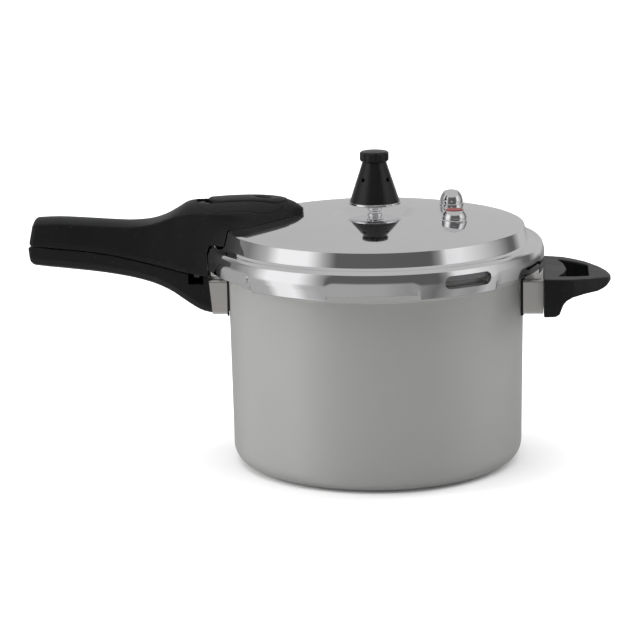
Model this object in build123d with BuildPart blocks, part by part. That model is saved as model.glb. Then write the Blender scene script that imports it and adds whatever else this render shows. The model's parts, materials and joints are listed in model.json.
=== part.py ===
from build123d import *
import os
from math import cos, radians, sin, sqrt

os.makedirs("parts", exist_ok=True)

# Pressure canner, millimetres, +Z up. The origin is the centre of the pot's flat base.
# The long handles point to -X and the helper handle to +X.

# ---- driving dimensions
pot_radius = 110.0          # outside, just under the brim
foot_radius = 108.2         # outside, just above the bottom corner
base_corner = 14.0
base_thickness = 4.0
brim_radius = 116.3
brim_top = 154.7
pot_wall = 2.6

lug_count = 6
lug_pitch = 360 / lug_count
lug_phase = 2.0             # angle from +X to the first lug's centre
lid_lug_angle = 28.0
pot_lug_angle = 26.0

crest_radius = 33.0         # ring where the dome turns down into the centre dimple
crest_height = 187.0
dimple_floor = 181.5
dome_curve = 330.0          # radius of the dome's arc, seen from the side
dome_edge = 110.0
lid_wall = 2.4
skirt_bottom = 145.0
gap_bottom = 148.6          # the skirt's lower edge between two lugs

bracket_top = 139.5
bracket_bottom = 113.0
bracket_half_width = 20.0
bracket_middle = 128.0
screw_inset = 7.0           # from a bracket's outer end to its screw
long_bracket_reach = 143.0
helper_bracket_reach = 136.0
handle_end_top = 123.4      # where the pot handle begins, at the guard's top and bottom
handle_end_bottom = 120.6
helper_start = 124.5

indicator_place = (59.7, -30.4)
relief_place = (55.8, 34.6)


def dome_height(radius):
    """Height of the lid's top surface outside the crest ring."""
    run = max(radius - crest_radius, 0)
    return crest_height - (dome_curve - sqrt(dome_curve**2 - run**2))


def at_angle(radius, degrees):
    return radius * cos(radians(degrees)), radius * sin(radians(degrees))


# ---- pot
with BuildPart() as pot_shell:
    with BuildSketch(Plane.XZ):
        with BuildLine():
            FilletPolyline(
                (0, 0), (foot_radius, 0), (pot_radius, 141.5), (brim_radius, 148.0),
                (brim_radius, brim_top), (brim_radius - 2.8, brim_top),
                (brim_radius - 2.8, 149.2), (pot_radius - pot_wall, 143.0),
                (foot_radius - pot_wall, base_thickness), (0, base_thickness),
                radius=[base_corner, 3, 2, 0.8, 0.8, 2, 3, 11],
            )
            Line((0, base_thickness), (0, 0))
        make_face()
    revolve(axis=Axis.Z)
    for number in range(lug_count):
        start = lug_phase + number * lug_pitch - pot_lug_angle / 2
        with BuildSketch(Plane.XZ.rotated((0, 0, start))):
            with Locations(((brim_radius - 1.5 + 121.3) / 2, 149.8)):
                Rectangle(121.3 - brim_radius + 1.5, 3.4)
        revolve(axis=Axis.Z, revolution_arc=pot_lug_angle)
    # the long handle's rivets, then the helper handle's
    for side in (-1, 1):
        with Locations(Plane.YZ.offset(side * pot_radius)):
            with Locations((-9, 126.5), (9, 126.5)):
                Hole(2.5, depth=8)
pot_shell.part.label = "pot_shell"
export_step(pot_shell.part, "parts/pot_shell.step")


# ---- fittings on both sides of the pot: pad, guard, bracket and rivets
def make_pad(side):
    with BuildPart() as pad:
        with BuildSketch(Plane.XY.offset(bracket_bottom - 0.8)):
            Circle(pot_radius + 1.4)
            Circle(pot_radius + 0.1, mode=Mode.SUBTRACT)
            with Locations((side * pot_radius, 0)):
                Rectangle(60, 2 * bracket_half_width + 1.6, mode=Mode.INTERSECT)
        extrude(amount=bracket_top - bracket_bottom + 1.6)
        with Locations((side * pot_radius, 0, 126.5)):
            Box(12, 31, 19, mode=Mode.SUBTRACT)
    return pad


def make_guard(side, end_top, end_bottom):
    with BuildPart() as guard:
        with BuildSketch(Plane.YZ.offset(side * 100)):
            with Locations((0, (bracket_top + bracket_bottom) / 2)):
                RectangleRounded(2 * bracket_half_width, bracket_top - bracket_bottom, 2.5)
                RectangleRounded(2 * bracket_half_width - 2.4, bracket_top - bracket_bottom - 2.4,
                                 1.6, mode=Mode.SUBTRACT)
        extrude(amount=side * 40)
        Cylinder(pot_radius + 1.5, 400, mode=Mode.SUBTRACT)
        # the outer end leans to meet the handle
        with BuildSketch(Plane.XZ):
            with BuildLine():
                Polyline((side * end_top, 141), (side * end_bottom, 112), (side * 160, 112),
                         (side * 160, 141), close=True)
            make_face()
        extrude(amount=40, both=True, mode=Mode.SUBTRACT)
    return guard


def make_bracket(side, reach):
    with BuildPart() as bracket:
        with BuildSketch(Plane.XY.offset(118)):
            Circle(pot_radius + 2.3)
            Circle(pot_radius + 0.2, mode=Mode.SUBTRACT)
            with Locations((side * pot_radius, 0)):
                Rectangle(60, 30, mode=Mode.INTERSECT)
        extrude(amount=17)
        middle = (reach + pot_radius + 1) / 2
        with Locations((side * middle, 0, bracket_middle)):
            Box(reach - pot_radius - 1, 9, 7)
        with Locations(Plane.YZ.offset(side * pot_radius)):
            with Locations((-9, 126.5), (9, 126.5)):
                Hole(2.5, depth=8)
        with Locations((side * (reach - screw_inset), 0, bracket_middle)):
            Cylinder(1.8, 12, mode=Mode.SUBTRACT)
    return bracket


def make_rivets(side):
    inner_head = pot_radius - pot_wall - 1.2
    outer_head = pot_radius + 2.3
    with BuildPart() as rivets:
        with BuildSketch(Plane.YZ.offset(side * (inner_head - 1.8))):
            with Locations((-9, 126.5), (9, 126.5)):
                Circle(4.5)
        extrude(amount=side * 1.8)
        with BuildSketch(Plane.YZ.offset(side * inner_head)):
            with Locations((-9, 126.5), (9, 126.5)):
                Circle(2.4)
        extrude(amount=side * (outer_head - inner_head))
        with BuildSketch(Plane.YZ.offset(side * outer_head)):
            with Locations((-9, 126.5), (9, 126.5)):
                Circle(4.2)
        extrude(amount=side * 1.6)
    return rivets


pot_handle_pad = make_pad(-1)
pot_handle_pad.part.label = "pot_handle_pad"
export_step(pot_handle_pad.part, "parts/pot_handle_pad.step")

pot_handle_guard = make_guard(-1, handle_end_top, handle_end_bottom)
pot_handle_guard.part.label = "pot_handle_guard"
export_step(pot_handle_guard.part, "parts/pot_handle_guard.step")

pot_handle_bracket = make_bracket(-1, long_bracket_reach)
pot_handle_bracket.part.label = "pot_handle_bracket"
export_step(pot_handle_bracket.part, "parts/pot_handle_bracket.step")

pot_handle_rivets = make_rivets(-1)
pot_handle_rivets.part.label = "pot_handle_rivets"
export_step(pot_handle_rivets.part, "parts/pot_handle_rivets.step")

helper_pad = make_pad(1)
helper_pad.part.label = "helper_pad"
export_step(helper_pad.part, "parts/helper_pad.step")

helper_guard = make_guard(1, helper_start, helper_start)
helper_guard.part.label = "helper_guard"
export_step(helper_guard.part, "parts/helper_guard.step")

helper_bracket = make_bracket(1, helper_bracket_reach)
helper_bracket.part.label = "helper_bracket"
export_step(helper_bracket.part, "parts/helper_bracket.step")

helper_rivets = make_rivets(1)
helper_rivets.part.label = "helper_rivets"
export_step(helper_rivets.part, "parts/helper_rivets.step")


# ---- lid
def lid_top_outline():
    """From the axis over the dimple, crest, dome, slope band, bead and skirt to the lower edge."""
    Line((0, dimple_floor), (19, dimple_floor))
    Spline((19, dimple_floor), (26, 184.6), (crest_radius, crest_height), tangents=[(1, 0), (1, 0)])
    ThreePointArc((crest_radius, crest_height), (72, dome_height(72)),
                  (dome_edge - 1, dome_height(dome_edge - 1)))
    FilletPolyline(
        (dome_edge - 1, dome_height(dome_edge - 1)), (dome_edge + 0.6, 177.4), (113.6, 166.2),
        (119.2, 164.8), (120.6, 165.8), (123.4, 164.6), (125.5, 158.8), (125.3, 150),
        (124.4, skirt_bottom),
        radius=[1.2, 1.2, 0.6, 0.8, 2, 3, 4],
    )


rivet_angle = -135.0        # the skirt's stop rivet
rivet_height = 154.0
window_angle = -55.0
window_half_angle = 6.8     # to the centre of each rounded end
window_middle = 155.8
window_radius = 4.7

with BuildPart() as lid_shell:
    with BuildSketch(Plane.XZ):
        with BuildLine():
            lid_top_outline()
            FilletPolyline(
                (124.4, skirt_bottom), (122.2, skirt_bottom), (122.9, 150), (123.1, 158.6),
                (121.9, 162.0), (111.5, 162.6), (108.3, dome_height(108) - lid_wall - 1),
                (107, dome_height(107) - lid_wall),
                radius=[0.4, 3, 2, 1.2, 0.8, 1],
            )
            ThreePointArc((107, dome_height(107) - lid_wall), (72, dome_height(72) - lid_wall),
                          (crest_radius, crest_height - lid_wall))
            Spline((crest_radius, crest_height - lid_wall), (26, 184.6 - lid_wall),
                   (19, dimple_floor - lid_wall), tangents=[(-1, 0), (-1, 0)])
            Polyline((19, dimple_floor - lid_wall), (0, dimple_floor - lid_wall), (0, dimple_floor))
        make_face()
    revolve(axis=Axis.Z)
    for number in range(lug_count):
        lug_start = lug_phase + number * lug_pitch - lid_lug_angle / 2
        gap_start = lug_start + lid_lug_angle
        # between two lugs the skirt is shorter and set back
        with BuildSketch(Plane.XZ.rotated((0, 0, gap_start))):
            with Locations((123, (144 + gap_bottom) / 2)):
                Rectangle(14, gap_bottom - 144)
            with Locations((126, 153)):
                Rectangle(3, 16)
        revolve(axis=Axis.Z, revolution_arc=lug_pitch - lid_lug_angle, mode=Mode.SUBTRACT)
        # each lug's lip turns in under the pot's lug
        with BuildSketch(Plane.XZ.rotated((0, 0, lug_start))):
            with Locations((120.5, skirt_bottom + 1.1)):
                Rectangle(5.8, 2.2)
        revolve(axis=Axis.Z, revolution_arc=lid_lug_angle)
    # window for the sealing ring
    with BuildSketch(Plane.XZ.rotated((0, 0, window_angle - window_half_angle))):
        with Locations((124, window_middle)):
            Rectangle(7, 2 * window_radius)
    revolve(axis=Axis.Z, revolution_arc=2 * window_half_angle, mode=Mode.SUBTRACT)
    for end in (-1, 1):
        x, y = at_angle(121, window_angle + end * window_half_angle)
        with BuildSketch(Plane(origin=(x, y, window_middle), z_dir=(x, y, 0))):
            Circle(window_radius)
        extrude(amount=8, mode=Mode.SUBTRACT)
    x, y = at_angle(121, rivet_angle)
    with BuildSketch(Plane(origin=(x, y, rivet_height), z_dir=(x, y, 0))):
        Circle(1.5)
    extrude(amount=8, mode=Mode.SUBTRACT)
    # vent pipe, valves and the handle bracket's rivets
    with Locations((0, 0, 180), (*indicator_place, 184), (*relief_place, 184)):
        Cylinder(5.0, 20, mode=Mode.SUBTRACT)
    with Locations((-92, 0, 180), (-102, 0, 180)):
        Cylinder(2.5, 12, mode=Mode.SUBTRACT)
lid_shell.part.label = "lid_shell"
export_step(lid_shell.part, "parts/lid_shell.step")

with BuildPart() as skirt_rivet:
    x, y = at_angle(123.2, rivet_angle)
    with BuildSketch(Plane(origin=(x, y, rivet_height), z_dir=(x, y, 0))):
        Circle(1.45)
    extrude(amount=1.5)
    x, y = at_angle(124.6, rivet_angle)
    with BuildSketch(Plane(origin=(x, y, rivet_height), z_dir=(x, y, 0))):
        Circle(3.1)
    extrude(amount=1.3, taper=25)
skirt_rivet.part.label = "skirt_rivet"
export_step(skirt_rivet.part, "parts/skirt_rivet.step")

with BuildPart() as sealing_ring:
    with BuildSketch(Plane.XZ):
        with BuildLine():
            FilletPolyline(
                (112.3, 155.05), (121.6, 155.05), (121.6, 161.4), (112.3, 161.4), (112.3, 159.2),
                (117.6, 159.0), (117.6, 157.6), (112.3, 157.2),
                radius=[0.6, 1.2, 1.2, 0.6, 0.4, 0.6, 0.6, 0.4], close=True,
            )
        make_face()
    revolve(axis=Axis.Z)
sealing_ring.part.label = "sealing_ring"
export_step(sealing_ring.part, "parts/sealing_ring.step")

# everything under the lid's top surface, a little grown: what the lid handle sits on
with BuildPart() as lid_solid:
    with BuildSketch(Plane.XZ):
        with BuildLine():
            Line((0, 100), (0, crest_height + 0.25))
            Line((0, crest_height + 0.25), (crest_radius, crest_height + 0.25))
            ThreePointArc((crest_radius, crest_height + 0.25), (72, dome_height(72) + 0.25),
                          (dome_edge + 0.9, dome_height(dome_edge + 0.9) + 0.25))
            Polyline((dome_edge + 0.9, dome_height(dome_edge + 0.9) + 0.25), (114, 166.2),
                     (124.2, 166.2), (125.9, 161), (125.9, 100), (0, 100))
        make_face()
    revolve(axis=Axis.Z)


# ---- long handles
seam_points = [(-259, 163.7), (-234.7, 161.9), (-196.5, 157.3), (-167.4, 151.1), (-139.8, 145.0),
               (-112, 140.2)]
seam_gap = 0.9


def seam_outline(shift, far_height):
    """Closed outline between the seam, moved up or down, and a level line."""
    points = [(x, z + shift) for x, z in seam_points]
    Spline(*points)
    Polyline(points[-1], (points[-1][0], far_height), (points[0][0], far_height), points[0])


# x, half width at the foot, height of the foot, half width at the shoulder,
# height of the shoulder, height of the crown
lid_handle_sections = [
    (-258.6, 14.0, 168, 11.8, 179.8, 183.6),
    (-236, 15.0, 167, 12.6, 180.4, 184.1),
    (-215, 15.2, 165, 12.8, 179.4, 183.1),
    (-197, 15.8, 162, 13.0, 178.4, 182.0),
    (-180, 17.0, 158, 14.0, 178.3, 181.4),
    (-165, 18.5, 155, 15.4, 180.6, 182.9),
    (-155, 20.0, 153, 16.6, 184.0, 186.4),
    (-147, 21.4, 152, 17.4, 186.8, 191.0),
    (-140, 22.6, 150, 18.8, 188.2, 195.2),
    (-130, 24.0, 152, 20.6, 189.0, 197.0),
    (-118, 26.6, 158, 22.8, 189.4, 198.2),
    (-105, 30.4, 168, 24.4, 189.6, 199.0),
    (-92, 32.0, 178, 24.6, 189.6, 199.3),
    (-79, 27.6, 181, 21.4, 189.4, 199.0),
    (-67, 19.6, 183, 15.4, 188.8, 197.2),
    (-59, 12.6, 184, 9.8, 188.0, 194.2),
    (-53.5, 5.0, 185, 3.6, 187.0, 190.2),
]

with BuildPart() as handle_blank:
    for x, foot, foot_z, shoulder, shoulder_z, crown in lid_handle_sections:
        with BuildSketch(Plane.YZ.offset(x)):
            with BuildLine():
                Polyline((-shoulder, shoulder_z), (-foot, foot_z), (-foot, 138), (foot, 138),
                         (foot, foot_z), (shoulder, shoulder_z))
                ThreePointArc((shoulder, shoulder_z), (0, crown), (-shoulder, shoulder_z))
            make_face()
    loft(ruled=True)

recess_middle = -99.0
recess_length = 70.6
recess_width = 46.0
recess_floor = 188.0
button_front = -64.8
button_length = 59.0
button_width = 23.0
bar_bottom = 185.8
bar_top = 187.4
screw_places = [(-97, -10), (-97, 10)]
bracket_rivet_places = [(-92, 0), (-102, 0)]
button_screw_places = [(-112, 0), (-90, 0)]

with BuildPart() as lid_handle_bracket:
    with BuildSketch(Plane.XY.offset(175)):
        with Locations((-97, 0)):
            RectangleRounded(18, 28, 3)
    extrude(amount=9)
    with Locations(*[(x, y, 180) for x, y in screw_places]):
        Cylinder(1.75, 20, mode=Mode.SUBTRACT)
    with Locations(*[(x, y, 180) for x, y in bracket_rivet_places]):
        Cylinder(2.5, 20, mode=Mode.SUBTRACT)
    add(lid_solid.part, mode=Mode.SUBTRACT)
lid_handle_bracket.part.label = "lid_handle_bracket"
export_step(lid_handle_bracket.part, "parts/lid_handle_bracket.step")

with BuildPart() as lid_handle_rivets:
    for x, y in bracket_rivet_places:
        head_top = dome_height(-x + 4.2) - lid_wall - 0.05
        with Locations((x, y, head_top - 0.1)):
            Cylinder(2.4, 183.9 - head_top, align=(Align.CENTER, Align.CENTER, Align.MIN))
        with Locations((x, y, head_top)):
            Cylinder(4.2, 1.6, align=(Align.CENTER, Align.CENTER, Align.MAX))
lid_handle_rivets.part.label = "lid_handle_rivets"
export_step(lid_handle_rivets.part, "parts/lid_handle_rivets.step")

with BuildPart() as lid_handle_screws:
    with Locations(*[(x, y, 181.2) for x, y in screw_places]):
        Cylinder(1.65, 5.2, align=(Align.CENTER, Align.CENTER, Align.MIN))
    with Locations(*[(x, y, 186.3) for x, y in screw_places]):
        Cylinder(3.1, 1.6, align=(Align.CENTER, Align.CENTER, Align.MIN))
lid_handle_screws.part.label = "lid_handle_screws"
export_step(lid_handle_screws.part, "parts/lid_handle_screws.step")

with BuildPart() as lid_handle:
    add(handle_blank.part)
    with BuildSketch(Plane.XZ):
        with BuildLine():
            seam_outline(seam_gap / 2, 120)
        make_face()
        # the far end leans back
        with BuildLine():
            Polyline((-262, 190), (-254, 190), (-258.6, 166), (-262, 166), close=True)
        make_face()
    extrude(amount=60, both=True, mode=Mode.SUBTRACT)
    add(lid_solid.part, mode=Mode.SUBTRACT)
    with BuildSketch(Plane.XY.offset(recess_floor)):
        with Locations((recess_middle, 0)):
            SlotOverall(recess_length, recess_width)
    extrude(amount=30, mode=Mode.SUBTRACT)
    # tunnel for the lock bar and its tongue
    with BuildSketch(Plane.XY.offset(bar_bottom - 0.4)):
        with Locations((-115, 0)):
            Rectangle(62, 12)
    extrude(amount=bar_top - bar_bottom + 1.2, mode=Mode.SUBTRACT)
    with BuildSketch(Plane.XY.offset(130)):
        with Locations((-138.4, 0)):
            Rectangle(14.4, 10.4)
    extrude(amount=56, mode=Mode.SUBTRACT)
    # pocket over the bracket
    with BuildSketch(Plane.XY.offset(170)):
        with Locations((-97, 0)):
            RectangleRounded(18.6, 28.6, 3.3)
    extrude(amount=14.2, mode=Mode.SUBTRACT)
    with Locations(*[(x, y, recess_floor) for x, y in screw_places]):
        CounterBoreHole(1.9, 3.3, 1.8, depth=12)
lid_handle.part.label = "lid_handle"
export_step(lid_handle.part, "parts/lid_handle.step")

with BuildPart() as lock_bezel:
    with BuildSketch(Plane.XY.offset(recess_floor + 0.1)):
        with Locations((recess_middle, 0)):
            SlotOverall(recess_length - 0.8, recess_width - 0.8)
    extrude(amount=20)
    add(handle_blank.part, mode=Mode.INTERSECT)
    # track for the button, with a floor that its two bosses run through
    with BuildSketch(Plane.XY.offset(190.6)):
        with Locations((recess_middle, 0)):
            SlotOverall(recess_length - 1.8, button_width + 0.8)
    extrude(amount=20, mode=Mode.SUBTRACT)
    with BuildSketch(Plane.XY.offset(180)):
        with Locations((-105.5, 0)):
            SlotOverall(44, 9)
    extrude(amount=30, mode=Mode.SUBTRACT)
lock_bezel.part.label = "lock_bezel"
export_step(lock_bezel.part, "parts/lock_bezel.step")

with BuildPart() as lock_button:
    with BuildSketch(Plane.XY.offset(191.0)):
        with Locations((button_front - button_length / 2, 0)):
            SlotOverall(button_length, button_width)
    extrude(amount=20)
    add(handle_blank.part.moved(Location((0, 0, 0.5))), mode=Mode.INTERSECT)
    with Locations(*[(x, y, bar_top) for x, y in button_screw_places]):
        Cylinder(3.8, 5, align=(Align.CENTER, Align.CENTER, Align.MIN))
    with Locations(*[(x, y, bar_top) for x, y in button_screw_places]):
        Cylinder(1.45, 6.8, align=(Align.CENTER, Align.CENTER, Align.MIN), mode=Mode.SUBTRACT)
    # dent for the thumb
    with Locations((-80, 0, 208.5)):
        Sphere(12, mode=Mode.SUBTRACT)
lock_button.part.label = "lock_button"
export_step(lock_button.part, "parts/lock_button.step")

with BuildPart() as lock_bar:
    with BuildSketch(Plane.XY.offset(bar_bottom)):
        with Locations((-110.5, 0)):
            RectangleRounded(51, 9, 1.5)
        with Locations(*button_screw_places):
            Circle(2.5, mode=Mode.SUBTRACT)
    extrude(amount=bar_top - bar_bottom)
    with BuildSketch(Plane.XY.offset(138)):
        with Locations((-134, 0)):
            Rectangle(4, 9)
    extrude(amount=bar_bottom - 138 + 0.2)
lock_bar.part.label = "lock_bar"
export_step(lock_bar.part, "parts/lock_bar.step")

with BuildPart() as lock_screws:
    with Locations(*[(x, y, bar_top) for x, y in button_screw_places]):
        Cylinder(1.4, 6.5, align=(Align.CENTER, Align.CENTER, Align.MIN))
    with Locations(*[(x, y, bar_bottom) for x, y in button_screw_places]):
        Cylinder(2.4, bar_top - bar_bottom, align=(Align.CENTER, Align.CENTER, Align.MIN))
lock_screws.part.label = "lock_screws"
export_step(lock_screws.part, "parts/lock_screws.step")

# x, half width, height of the underside's middle, height of the underside's edge
pot_handle_sections = [
    (-259.4, 13.6, 147.8, 152.2),
    (-247, 14.2, 146.4, 150.9),
    (-236, 14.6, 145.4, 150.0),
    (-221, 15.0, 143.9, 148.5),
    (-206, 15.3, 142.2, 146.9),
    (-195, 15.8, 140.6, 145.3),
    (-184, 16.4, 138.6, 143.4),
    (-174, 17.2, 136.3, 141.2),
    (-165, 18.0, 133.5, 138.6),
    (-157, 18.8, 130.1, 135.4),
    (-149.5, 19.5, 125.9, 131.4),
    (-144, 19.9, 122.0, 127.6),
    (-138.5, 20.3, 118.2, 123.8),
    (-130, 20.6, 113.4, 118.6),
    (-117, 20.8, 110.2, 114.6),
]

with BuildPart() as pot_handle:
    for x, half_width, under, edge in pot_handle_sections:
        with BuildSketch(Plane.YZ.offset(x)):
            with BuildLine():
                Polyline((-half_width + 2, edge - 1), (-half_width, edge + 3), (-half_width, 172),
                         (half_width, 172), (half_width, edge + 3), (half_width - 2, edge - 1))
                ThreePointArc((half_width - 2, edge - 1), (0, under), (-half_width + 2, edge - 1))
            make_face()
    loft(ruled=True)
    with BuildSketch(Plane.XZ):
        with BuildLine():
            seam_outline(-seam_gap / 2, 180)
        make_face()
        with BuildLine():
            Polyline((-handle_end_top - 0.1, 141), (-handle_end_bottom - 0.1, 112),
                     (-handle_end_bottom, 90), (-100, 90), (-100, 160),
                     (-handle_end_top - 0.1, 160), close=True)
        make_face()
    extrude(amount=60, both=True, mode=Mode.SUBTRACT)
    # channel that the lock tongue swings out of, and the pocket that holds it when locked
    with BuildSketch(Plane.XY.offset(136)):
        Circle(140)
        Circle(128.6, mode=Mode.SUBTRACT)
        with Locations((-135, -44.5)):
            Rectangle(60, 100, mode=Mode.INTERSECT)
        with Locations((-142, 0)):
            Rectangle(10.4, 10.6)
    extrude(amount=30, mode=Mode.SUBTRACT)
    # bracket arm and its screw
    with Locations((-long_bracket_reach + 12, 0, bracket_middle)):
        Box(24.6, 9.4, 7.4, mode=Mode.SUBTRACT)
    with Locations((-long_bracket_reach + screw_inset, 0, 105)):
        Cylinder(1.9, 25, align=(Align.CENTER, Align.CENTER, Align.MIN), mode=Mode.SUBTRACT)
        Cylinder(3.7, 16.7, align=(Align.CENTER, Align.CENTER, Align.MIN), mode=Mode.SUBTRACT)
pot_handle.part.label = "pot_handle"
export_step(pot_handle.part, "parts/pot_handle.step")


def make_screw(x):
    with BuildPart() as screw:
        with Locations((x, 0, 119.2)):
            Cylinder(3.4, 2.4, align=(Align.CENTER, Align.CENTER, Align.MIN))
            Cylinder(1.7, 11.4, align=(Align.CENTER, Align.CENTER, Align.MIN))
            Box(5, 0.9, 1.6, mode=Mode.SUBTRACT)
            Box(0.9, 5, 1.6, mode=Mode.SUBTRACT)
    return screw


pot_handle_screw = make_screw(-long_bracket_reach + screw_inset)
pot_handle_screw.part.label = "pot_handle_screw"
export_step(pot_handle_screw.part, "parts/pot_handle_screw.step")

helper_screw = make_screw(helper_bracket_reach - screw_inset)
helper_screw.part.label = "helper_screw"
export_step(helper_screw.part, "parts/helper_screw.step")

# ---- helper handle
with BuildPart() as helper_handle:
    with BuildSketch(Plane.XY.offset(100)):
        with BuildLine():
            Spline((helper_start + 0.1, -46), (139, -44), (147, -40.5), (157, -33), (166, -22.5),
                   (172, -12.5), (174.8, 0), (172, 12.5), (166, 22.5), (157, 33), (147, 40.5),
                   (139, 44), (helper_start + 0.1, 46))
            Line((helper_start + 0.1, 46), (helper_start + 0.1, -46))
        make_face()
        with BuildLine():
            Spline((134, -33), (139.6, -18), (141.8, 0), (139.6, 18), (134, 33))
            FilletPolyline((134, 33), (148, 27), (157.8, 20), (157.8, -20), (148, -27), (134, -33),
                           radius=[8, 5, 5, 8])
        make_face(mode=Mode.SUBTRACT)
    extrude(amount=60)
    with BuildSketch(Plane.XZ):
        with BuildLine():
            Spline((helper_start, 144.5), (139, 144.0), (155, 142.6), (166, 141.0), (173, 138.8))
            ThreePointArc((173, 138.8), (174.9, 136.9), (173.6, 134.9))
            Spline((173.6, 134.9), (169, 132.3), (164, 131.3), (156, 131.5), (146, 130.0),
                   (141, 127.6), (138.4, 124.2))
            FilletPolyline((138.4, 124.2), (136.6, 116.2), (helper_start, 116.2),
                           (helper_start, 144.5), radius=[3.5, 0.4])
        make_face()
    extrude(amount=60, both=True, mode=Mode.INTERSECT)
    arm_room = helper_bracket_reach + 0.4
    with Locations((arm_room - 10, 0, bracket_middle)):
        Box(20, 9.4, 7.4, mode=Mode.SUBTRACT)
    with Locations((helper_bracket_reach - screw_inset, 0, 105)):
        Cylinder(1.9, 25, align=(Align.CENTER, Align.CENTER, Align.MIN), mode=Mode.SUBTRACT)
        Cylinder(3.7, 16.7, align=(Align.CENTER, Align.CENTER, Align.MIN), mode=Mode.SUBTRACT)
helper_handle.part.label = "helper_handle"
export_step(helper_handle.part, "parts/helper_handle.step")


# ---- vent pipe and what holds it
pipe_bore = 2.0
pipe_top = 207.1

with BuildPart() as vent_pipe:
    with BuildSketch(Plane.XZ):
        with BuildLine():
            Polyline((pipe_bore, 168.6), (4.9, 168.6), (4.9, dimple_floor + 0.05),
                     (6.6, dimple_floor + 0.05), (6.6, 182.6), (5.0, 183.2))
            ThreePointArc((5.0, 183.2), (5.9, 184.8), (4.6, 186.6))
            Line((4.6, 186.6), (4.6, 187.4))
            ThreePointArc((4.6, 187.4), (5.9, 189.2), (5.0, 190.9))
            Polyline((5.0, 190.9), (3.6, 191.6), (3.6, 206.2), (3.0, pipe_top),
                     (pipe_bore, pipe_top), (pipe_bore, 168.6))
        make_face()
    revolve(axis=Axis.Z)
vent_pipe.part.label = "vent_pipe"
export_step(vent_pipe.part, "parts/vent_pipe.step")

with BuildPart() as vent_pipe_washer:
    with BuildSketch(Plane.XY.offset(177.4)):
        Circle(9.4)
        Circle(5.0, mode=Mode.SUBTRACT)
    extrude(amount=dimple_floor - lid_wall - 177.4)
vent_pipe_washer.part.label = "vent_pipe_washer"
export_step(vent_pipe_washer.part, "parts/vent_pipe_washer.step")

with BuildPart() as vent_pipe_nut:
    with BuildSketch(Plane.XY.offset(172.6)):
        RegularPolygon(8.6, 6)
        Circle(4.95, mode=Mode.SUBTRACT)
    extrude(amount=4.8)
vent_pipe_nut.part.label = "vent_pipe_nut"
export_step(vent_pipe_nut.part, "parts/vent_pipe_nut.step")

with BuildPart() as vent_strainer:
    Cylinder(7.0, 7.0, align=(Align.CENTER, Align.CENTER, Align.MIN))
    with Locations((0, 0, 1)):
        Cylinder(4.95, 6.0, align=(Align.CENTER, Align.CENTER, Align.MIN), mode=Mode.SUBTRACT)
    Cylinder(0.7, 3, mode=Mode.SUBTRACT)
    with PolarLocations(2.8, 6):
        Cylinder(0.7, 3, mode=Mode.SUBTRACT)
vent_strainer.part = vent_strainer.part.moved(Location((0, 0, 165.5)))
vent_strainer.part.label = "vent_strainer"
export_step(vent_strainer.part, "parts/vent_strainer.step")

# ---- pressure weight, standing on the vent pipe
weight_foot = 192.2
cone_foot = 195.0
cone_top = 224.6
cone_foot_radius = 18.5
cone_top_radius = 8.8
steam_hole_height = 212.1
steam_hole_angles = (-128, -38, 52, 142)
cap_top = 233.1
cap_lobes = 9


def cone_radius(z):
    share = (z - cone_foot) / (cone_top - cone_foot)
    return cone_foot_radius + share * (cone_top_radius - cone_foot_radius)


steam_hole_planes = [
    Plane(origin=(x, y, steam_hole_height), z_dir=(x, y, 0))
    for x, y in [at_angle(1, angle) for angle in steam_hole_angles]
]

with BuildPart() as weight_base:
    with BuildSketch(Plane.XZ):
        with BuildLine():
            FilletPolyline((6.4, 193.2), (16.8, weight_foot), (19.9, 193.4), (19.9, cone_foot),
                           (6.4, cone_foot), radius=[0.6, 0.8, 0.5, 0.2, 0.5], close=True)
        make_face()
    revolve(axis=Axis.Z)
weight_base.part.label = "weight_base"
export_step(weight_base.part, "parts/weight_base.step")

with BuildPart() as weight_cone:
    with BuildSketch(Plane.XZ):
        with BuildLine():
            Polyline((cone_foot_radius, cone_foot), (cone_top_radius, cone_top), (2.1, cone_top),
                     (2.1, cone_top - 2.4), (cone_radius(cone_top - 2.4) - 2, cone_top - 2.4),
                     (cone_foot_radius - 2, cone_foot), close=True)
        make_face()
    revolve(axis=Axis.Z)
    with BuildSketch(*steam_hole_planes):
        Circle(1.6)
    extrude(amount=25, mode=Mode.SUBTRACT)
weight_cone.part.label = "weight_cone"
export_step(weight_cone.part, "parts/weight_cone.step")

with BuildPart() as weight_core:
    core_top = cone_top - 2.6
    with BuildSketch(Plane.XZ):
        with BuildLine():
            Polyline((0, 203.6), (1.2, 204.8), (1.2, 212), (4.6, 212), (4.6, cone_foot),
                     (cone_radius(cone_foot) - 2.1, cone_foot),
                     (cone_radius(core_top) - 2.1, core_top), (0, core_top), close=True)
        make_face()
    revolve(axis=Axis.Z)
    with BuildSketch(*steam_hole_planes):
        Circle(1.4)
    extrude(amount=25, mode=Mode.SUBTRACT)
    with Locations((0, 0, 214)):
        Cylinder(1.65, 20, align=(Align.CENTER, Align.CENTER, Align.MIN), mode=Mode.SUBTRACT)
weight_core.part.label = "weight_core"
export_step(weight_core.part, "parts/weight_core.step")

with BuildPart() as weight_screw:
    with Locations((0, 0, 214.4)):
        Cylinder(1.6, 14, align=(Align.CENTER, Align.CENTER, Align.MIN))
weight_screw.part.label = "weight_screw"
export_step(weight_screw.part, "parts/weight_screw.step")

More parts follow.
